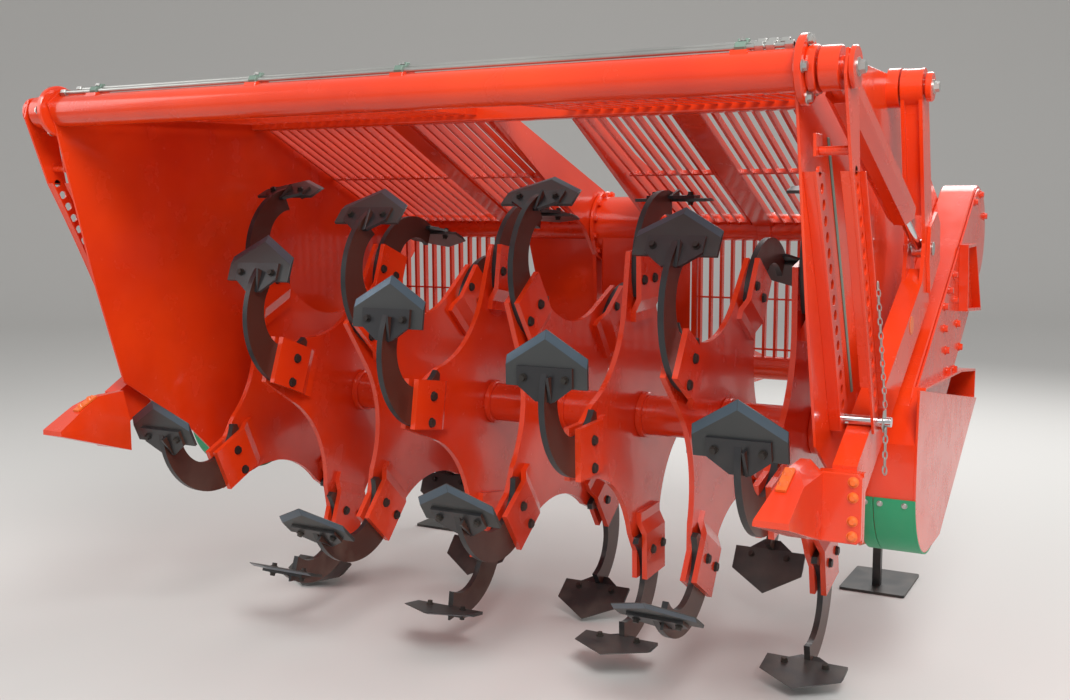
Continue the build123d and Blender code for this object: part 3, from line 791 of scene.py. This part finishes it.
def chain_link(place):
    """Oval link of round wire, long along a place's own Z."""
    mesh = bpy.data.meshes.new("link")
    built = bmesh.new()
    rings = []
    turns = [tau * k / LINK_SIDES for k in range(LINK_SIDES)]
    for a in (tau * k / LINK_STEPS for k in range(LINK_STEPS)):
        rings.append([built.verts.new((
            cos(a) * (LINK_W + LINK_WIRE * cos(b)) * MM, LINK_WIRE * sin(b) * MM,
            sin(a) * (LINK_L + LINK_WIRE * cos(b)) * MM)) for b in turns])
    for near, far in zip(rings, rings[1:] + rings[:1]):
        for k in range(LINK_SIDES):
            n = (k + 1) % LINK_SIDES
            built.faces.new((near[k], near[n], far[n], far[k]))
    bmesh.ops.recalc_face_normals(built, faces=built.faces)
    return as_mesh(built, mesh, place)


def chain(start, end):
    """Links from one place to another, every second one turned across its neighbours."""
    run = end - start
    pairs = round(run.length / (4 * (LINK_L - LINK_WIRE) * MM))
    aim = run.to_track_quat("Z", "X").to_matrix().to_4x4()
    links = []
    for k, turn in enumerate((0, pi / 2)):
        first = start + run * k / (2 * pairs)
        place = Matrix.Translation(first) @ aim @ Matrix.Rotation(turn, 4, "Z")
        values = {"Count": pairs, "Step": tuple(run / pairs), "Material": finishes()["Zinc"]}
        links.append(grown(ROW, chain_link(place), values))
    return links


class SPADER_OT_sides(bpy.types.Operator):
    """Side panels with their holed channels, outer guides and upper pivots"""

    bl_idname = "spader.sides"
    bl_label = "Sides and guides"

    def execute(self, context):
        holes = [circle_points(p, ROW_HOLE_R, 20) for p in arc_points(*ROW_LINE)]
        lug = [(-1043, 886), (-1130, 1125), (-1110, 1190), (-1030, 1190), (-1004, 1145),
               (-959, 886)]
        hanger = [(-1045, 925), (-975, 925), (-990, 985), (-1050, 985)]
        seal = [(-812, 985), (-790, 985), (-672, 736), (-566, 512), (-430, 215), (-452, 215),
                (-588, 512), (-694, 736)]
        for side, sign in SIDES:
            web = (sign * (LEG_FACE - SHEET), sign * LEG_FACE)
            ring_face = sign * (PANEL_FACE + PIVOT_RING_W)
            panel = [
                plate(PANEL, sign * PANEL_X, sign * PANEL_FACE, [circle_points((0, 0), 88)]),
                plate(strip_outline(-ROW_HALF, ROW_HALF), *web, holes),
                plate(strip_outline(-ROW_HALF, SHEET - ROW_HALF), sign * PANEL_FACE, web[0]),
                disc(TOP_TUBE, PIVOT_RING_R, sign * PANEL_FACE, ring_face, edge=4),
            ]
            frame_piece(f"panel_{side}", panel, [f"side_panel_{side}"])

            face, back = sign * GUIDE_OUT, sign * GUIDE_X
            rear = plate(strip_outline(-ROW_HALF, SHEET - ROW_HALF), sign * (GUIDE_X - 24), back)
            guide = [
                plate(strip_outline(-ROW_HALF, ROW_HALF), back, face, holes),
                plate(strip_outline(ROW_HALF - SHEET, ROW_HALF), face, sign * (GUIDE_OUT + 16)),
                cut(rear, SIDE @ Vector((0, 0.280, 0)), (0, 0, -1)),
                plate(lug, back, face),
                plate(hanger, *web),
                disc((-1010, 940), 12, web[1], back),
                disc(TOP_TUBE, 62, ring_face, sign * (ARM_X - 34), edge=3),
                disc(TOP_TUBE, 30, ring_face, back),
                disc(TOP_TUBE, 55, face, sign * (GUIDE_OUT + 14), edge=3),
            ]
            frame_piece(f"guide_{side}", guide, [f"guide_plate_{side}"])

            piece(f"seal_strip_{side}", [plate(seal, sign * PANEL_FACE, sign * (PANEL_FACE + 3))],
                  ["Clamp plastic"], "frame")
            tag = [(-694, 158), (-676, 140), (-650, 140), (-642, 160), (-650, 204), (-680, 204)]
            runs = (((1528, -800, 575), (1533, -676, 205)), ((1534, -664, 142), (1534, -660, 0)),
                    ((1535, -678, 142), (1535, -674, 8)))
            tether = [plate(tag, sign * 1527, sign * 1531)]
            for run in runs:
                tether += chain(*[SIDE @ Vector((y * MM, z * MM, sign * x * MM)) for x, y, z in run])
            piece(f"pin_chain_{side}", tether, ["Zinc"], "frame")
            ring = [spot(ring_face, y, z, (sign, 0, 0))
                    for y, z in circle_points(TOP_TUBE, 77, 5, radians(35))]
            fasteners(f"pivot_bolts_{side}", ring, "hex")
            cap = [spot(sign * (GUIDE_OUT + 14), *TOP_TUBE, (sign, 0, 0))]
            fasteners(f"cap_bolt_{side}", cap, "large")
        return {"FINISHED"}


# Drive case and the trough under it as (y, z), and the wear plate round the trough's corner
CASE_TOP, CASE_FOOT = (1060.0, 668.0), (-25.0, 35.0)
CASE_R, COVER_R = 200.0, 187.0
TROUGH_CENTRE, TROUGH_R = (-40.0, -116.0), 260.0
WEAR_T, WEAR_SEAM = 6.0, 1424.0


def trough_corner(radius):
    """Rounded lower rear corner of the trough, from its floor to its rear."""
    return [around(TROUGH_CENTRE, radius, radians(270 - 90 * k / 16)) for k in range(17)]


def trough_outline(inset):
    """Side outline of the trough, inset by a thickness."""
    corner = trough_corner(TROUGH_R - inset)
    low, rear = corner[0][1], corner[-1][0]
    return [*corner, (rear, 33), (-140 + inset, 197 - inset), (585, 165 - inset),
            (934 - inset, 126 - inset), (934 - inset, 7 + inset), (175, low)]


class SPADER_OT_cases(bpy.types.Operator):
    """Drive cases with their covers, troughs, guard plates and wear plates"""

    bl_idname = "spader.cases"
    bl_label = "Drive cases"

    def execute(self, context):
        guard_outline = [*trough_corner(TROUGH_R), (-300, 33), (-287, 210), (934, 7), (175, -376)]
        channel = [(600, 640), (800, 640), (990, 360), (640, 385)]
        inside = [(612, 628), (793, 628), (970, 374), (649, 396)]
        angles = [radians(187 + 4 * k) for k in range(25)]
        rows = ((TROUGH_R + WEAR_T, angles), (TROUGH_R, angles[::-1]))
        sheet = [around(TROUGH_CENTRE, radius, a) for radius, row in rows for a in row]
        for side, sign in SIDES:
            cover_x = sign * (CASE_FACE - SHEET)
            case = [
                plate(rounded_ends(CASE_FOOT, CASE_TOP, CASE_R), sign * PANEL_FACE, cover_x, edge=4),
                plate(rounded_ends(CASE_FOOT, CASE_TOP, COVER_R), cover_x, sign * CASE_FACE, edge=2),
                plate(channel, sign * CASE_FACE, sign * (CASE_FACE + 34), [inside]),
                plate(inside, sign * CASE_FACE, sign * (CASE_FACE + 4)),
            ]
            frame_piece(f"case_{side}", case, [f"drive_case_{side}"])
            guard = [
                plate(trough_outline(0), sign * PANEL_FACE, sign * GUARD_X, [trough_outline(SHEET)]),
                plate(guard_outline, sign * GUARD_X, sign * GUARD_OUT),
            ]
            frame_piece(f"guard_{side}", guard, [f"case_guard_{side}"])
            halves = [plate(sheet, sign * x0, sign * x1)
                      for x0, x1 in ((PANEL_FACE, WEAR_SEAM - 1), (WEAR_SEAM + 1, GUARD_OUT))]
            piece(f"wear_plate_{side}", halves, ["Wear plate"], "frame")
            a = radians(191)
            y, z = around(TROUGH_CENTRE, TROUGH_R + WEAR_T, a)
            screws = [spot(sign * x, y, z, (0, cos(a), sin(a))) for x in (1398, 1446, 1524)]
            fasteners(f"wear_screws_{side}", screws, "screw")
            cover = [spot(sign * CASE_FACE, y, z, (sign, 0, 0)) for y, z in (
                (503, 532), (420, 479), (535, 436), (329, 427), (618, 339), (335, 346), (682, 242),
                (390, 261), (576, 168), (437, 178), (940, 800), (1080, 830), (1200, 740))]
            fasteners(f"cover_bolts_{side}", cover, "hex", "Body paint", "frame")
        return {"FINISHED"}


# Cylinder from the top tube to the elbow: its folded cover, barrel, eye and the rod that shows
REACH = hypot(ELBOW[0] - TOP_TUBE[0], ELBOW[1] - TOP_TUBE[1])
FALL = atan2(ELBOW[1] - TOP_TUBE[1], ELBOW[0] - TOP_TUBE[0])
FOLD_R, FOLD_START, BARREL_R, EYE_R, ROD_SHOWN = 44.0, 110.0, 32.0, 58.0, 328.0
BARREL_END = REACH - ROD_SHOWN


class SPADER_OT_arms(bpy.types.Operator):
    """Elbow plates, cylinders in their folded covers and the arms' caps"""

    bl_idname = "spader.arms"
    bl_label = "Roller arms"

    def execute(self, context):
        lug = [(206, 768), (268, 728), (290, 596), (125, 490), (85, 610), (95, 720)]
        filling = [(-73, 1178), (7, 1178), (177, 758), (57, 758)]
        for side, sign in SIDES:
            body = f"arm_{side}"
            parts = [
                plate(lug, sign * ARM_OUT, sign * (ARM_OUT + 12), [circle_points(ELBOW, 15.3)]),
                disc(ELBOW, 34, sign * (ARM_IN - 10), sign * ARM_IN),
                disc(ARM_PIVOT, 48, sign * (ARM_OUT + 6), sign * (ARM_OUT + 26), edge=3),
                disc(ARM_PIVOT, 61, sign * (ARM_IN + 1), sign * (ARM_OUT - 1), edge=3),
                plate(filling, sign * (ARM_IN + 1), sign * (ARM_OUT - 1)),
            ]
            piece(f"arm_plates_{side}", parts, ["Body paint"], body)

            nose = plate(
                [(-1203, -38), (-1203, -20), (-1100, 32), (-1000, 80), (-874, 84), (-874, -149)],
                sign * 1310, sign * 1408)
            cut(nose, SIDE @ Vector((0, -0.030, sign * 1.310)), (-sign * 0.96, 0, 0.28))
            cut(nose, SIDE @ Vector((0, 0.084, sign * 1.372)), (sign * 0.7, 0, 0.7))
            flange = [(sign * x, z) for x, z in (
                (1392, -137), (1404, -149), (1506, -149), (1518, -137), (1518, 41), (1506, 53),
                (1404, 53), (1392, 41))]
            parts = [nose, plate(flange, 850, 874, plane=FRONT, edge=3)]
            piece(f"bracket_{side}", parts, ["Body paint"], body,
                  [f"arm_bracket_{side}"])
            # The bracket strip is red paint; its orange is painted sunlight.
            strip = plate([(-1096, 35), (-1006, 78), (-1009, 85), (-1099, 42)],
                          sign * 1338, sign * 1368)
            piece(f"bracket_strip_{side}", [strip], ["Painted sunlit red"], body)
            # The joint bolts are red paint; their orange is painted sunlight.
            joint = [spot(sign * 1494, -874, z, (0, -1, 0)) for z in (30, -14, -82, -126)]
            joint += [spot(sign * 1353, y, z, (0, -0.43, 0.9))
                      for y, z in ((-1073, 52), (-1031, 72))]
            fasteners(f"joint_bolts_{side}", joint, "dome", "Painted sunlit red", body)
            piece(f"elbow_head_{side}",
                  [disc(ELBOW, 23, sign * (ARM_OUT + 12), sign * (ARM_OUT + 17))],
                  ["Zinc"], body)
            # The plug's orange is painted sunlight on red paint.
            plug = disc((-125, 400), 31, sign * ARM_OUT, sign * (ARM_OUT + 1.5), edge=0.5)
            piece(f"plug_{side}", [plug], ["Painted sunlit red"], body)
            fasteners(f"pivot_bolt_{side}", [spot(sign * (ARM_OUT + 26), *ARM_PIVOT, (sign, 0, 0))],
                      "large", "Zinc", body)

            start = SIDE @ Vector((TOP_TUBE[0] * MM, TOP_TUBE[1] * MM, sign * ARM_X * MM))
            inside = Matrix.Translation(start) @ Matrix.Rotation(FALL - pi / 2, 4, "X")
            fold = circle_points((0, 0), FOLD_R / cos(pi / 8), 8, pi / 8)
            near, far = 52, BARREL_END + 2
            barrel = [
                plate(fold, FOLD_START, BARREL_END, plane=inside, edge=2),
                turned([(0, near), (BARREL_R, near), (BARREL_R, far), (0, far)], inside),
                disc(TOP_TUBE, EYE_R, sign * (ARM_X - 27), sign * (ARM_X + 27), edge=3),
            ]
            piece(f"barrel_cover_{side}", barrel, ["Body paint"], f"barrel_{side}",
                  [f"cylinder_barrel_{side}"])
        return {"FINISHED"}


# Oil pipes along the top tube as (y, z), and the clamps that hold them along X, in millimetres
PIPES = ((-1050.0, 1222.0), (-1074.0, 1211.0))
PIPE_R, UNION_R, UNION_W = 7.5, 13.0, 24.0
CLAMPS = (-1190.0, -450.0, 130.0, 1215.0)


class SPADER_OT_pipes(bpy.types.Operator):
    """Oil pipes on the top tube, with their clamps and unions"""

    bl_idname = "spader.pipes"
    bl_label = "Oil pipes"

    def execute(self, context):
        pipes = []
        for centre, x0, x1 in zip(PIPES, (-1306, -1362), (1340, 1358)):
            pipes.append(disc(centre, PIPE_R, x0, x1, edge=1, steps=20))
            for x in (x0 + UNION_W / 2, x1 - UNION_W / 2, 1265, 1295):
                ends = (x - UNION_W / 2, x + UNION_W / 2)
                pipes.append(disc(centre, UNION_R, *ends, edge=2, steps=6))
        piece("oil_pipes", pipes, ["Zinc"], "frame")
        pad = [(-1105, 1180), (-1098, 1203), (-1030, 1211), (-1022, 1172)]
        blocks, pads, bolts = [], [], []
        for x in CLAMPS:
            for centre in PIPES:
                blocks.append(plate(circle_points(centre, 17, 6), x - 15, x + 15, edge=2))
            pads.append(plate(pad, x - 24, x + 24))
            bolts.append(spot(x, -1062, 1229, (0, 0, 1)))
        piece("pipe_clamps", blocks, ["Clamp plastic"], "frame")
        frame_piece("clamp_pads", pads)
        fasteners("clamp_bolts", bolts, "small")
        return {"FINISHED"}


class SPADER_OT_stage(bpy.types.Operator):
    """Floor with a sweep behind, soft lamps and the camera"""

    bl_idname = "spader.stage"
    bl_label = "Set the stage"

    def execute(self, context):
        stage = context.scene.spader_stage
        profile = [(-14.0, 0.0), (12.0, 0.0)]
        profile += [(12.0 + 5 * sin(radians(a)), 5 - 5 * cos(radians(a))) for a in range(10, 91, 10)]
        profile.append((17.0, 14.0))
        mesh = bpy.data.meshes.new("floor")
        built = bmesh.new()
        rows = [[built.verts.new((x, y, z)) for y, z in profile] for x in (-24.0, 24.0)]
        for i in range(len(profile) - 1):
            built.faces.new((rows[1][i], rows[1][i + 1], rows[0][i + 1], rows[0][i]))
        as_mesh(built, mesh, Matrix.Rotation(stage.heading, 4, "Z"))
        floor = bpy.data.objects.new("floor", mesh)
        for face in mesh.polygons:
            face.use_smooth = True
        context.collection.objects.link(floor)
        material = bpy.data.materials.new("Floor")
        material.use_nodes = True
        shader = material.node_tree.nodes["Principled BSDF"]
        shader.inputs["Base Color"].default_value = (*stage.floor, 1)
        shader.inputs["Roughness"].default_value = 0.9
        shader.inputs["Specular IOR Level"].default_value = 0.1
        mesh.materials.append(material)

        world = bpy.data.worlds.new("Soft sky")
        world.use_nodes = True
        world.node_tree.nodes["Background"].inputs["Color"].default_value = (1, 1, 1, 1)
        world.node_tree.nodes["Background"].inputs["Strength"].default_value = stage.sky
        context.scene.world = world

        # Lamps as (name, place, aim, size, share of the key's power)
        lamps = (
            ("key", (3.5, -4.5, 6.0), (0, 0, 0.8), 3.0, 1.0),
            ("fill", (-6.0, -3.0, 3.5), (0, 0, 0.8), 4.0, 0.3),
            ("rim", (1.0, 5.5, 5.0), (0, 0, 1.0), 4.0, 0.6),
        )
        for name, place, aim, size, share in lamps:
            data = bpy.data.lights.new(name, "AREA")
            data.size = size
            data.energy = stage.light * share
            lamp = bpy.data.objects.new(name, data)
            lamp.location = place
            lamp.rotation_euler = (Vector(aim) - Vector(place)).to_track_quat("-Z", "Y").to_euler()
            context.collection.objects.link(lamp)

        camera = bpy.data.objects.new("camera", bpy.data.cameras.new("camera"))
        camera.data.lens = stage.lens
        camera.data.sensor_width = 36.0
        camera.data.clip_end = 100.0
        camera.matrix_world = (
            Matrix.Translation(stage.camera_place)
            @ Matrix.Rotation(stage.heading, 4, "Z")
            @ Matrix.Rotation(pi / 2 - stage.dip, 4, "X")
            @ Matrix.Rotation(stage.roll, 4, "Z")
        )
        context.collection.objects.link(camera)
        context.scene.camera = camera
        context.scene.view_settings.view_transform = "Standard"
        return {"FINISHED"}


class SPADER_PT_panel(bpy.types.Panel):
    """Lists the machine's pieces and settings"""

    bl_idname = "SPADER_PT_panel"
    bl_label = "Spading machine"
    bl_space_type = "VIEW_3D"
    bl_region_type = "UI"
    bl_category = "Spading machine"

    def draw(self, context):
        for operator in OPERATORS:
            self.layout.operator(operator.bl_idname)
        scene = context.scene
        for settings in (scene.spader_paint, scene.spader_spade, scene.spader_stage):
            for name in settings.__annotations__:
                self.layout.prop(settings, name)


OPERATORS = (
    SPADER_OT_paint, SPADER_OT_spades, SPADER_OT_grilles, SPADER_OT_mast, SPADER_OT_sides,
    SPADER_OT_cases, SPADER_OT_arms, SPADER_OT_pipes, SPADER_OT_stage,
)
CLASSES = (PaintSettings, SpadeSettings, StageSettings, *OPERATORS, SPADER_PT_panel)


def register():
    for item in CLASSES:
        bpy.utils.register_class(item)
    bpy.types.Scene.spader_paint = PointerProperty(type=PaintSettings)
    bpy.types.Scene.spader_spade = PointerProperty(type=SpadeSettings)
    bpy.types.Scene.spader_stage = PointerProperty(type=StageSettings)


def unregister():
    del bpy.types.Scene.spader_stage
    del bpy.types.Scene.spader_spade
    del bpy.types.Scene.spader_paint
    for item in reversed(CLASSES):
        bpy.utils.unregister_class(item)


def main():
    register()
    for operator in OPERATORS:
        group, name = operator.bl_idname.split(".")
        getattr(getattr(bpy.ops, group), name)()


if __name__ == "__main__":
    main()
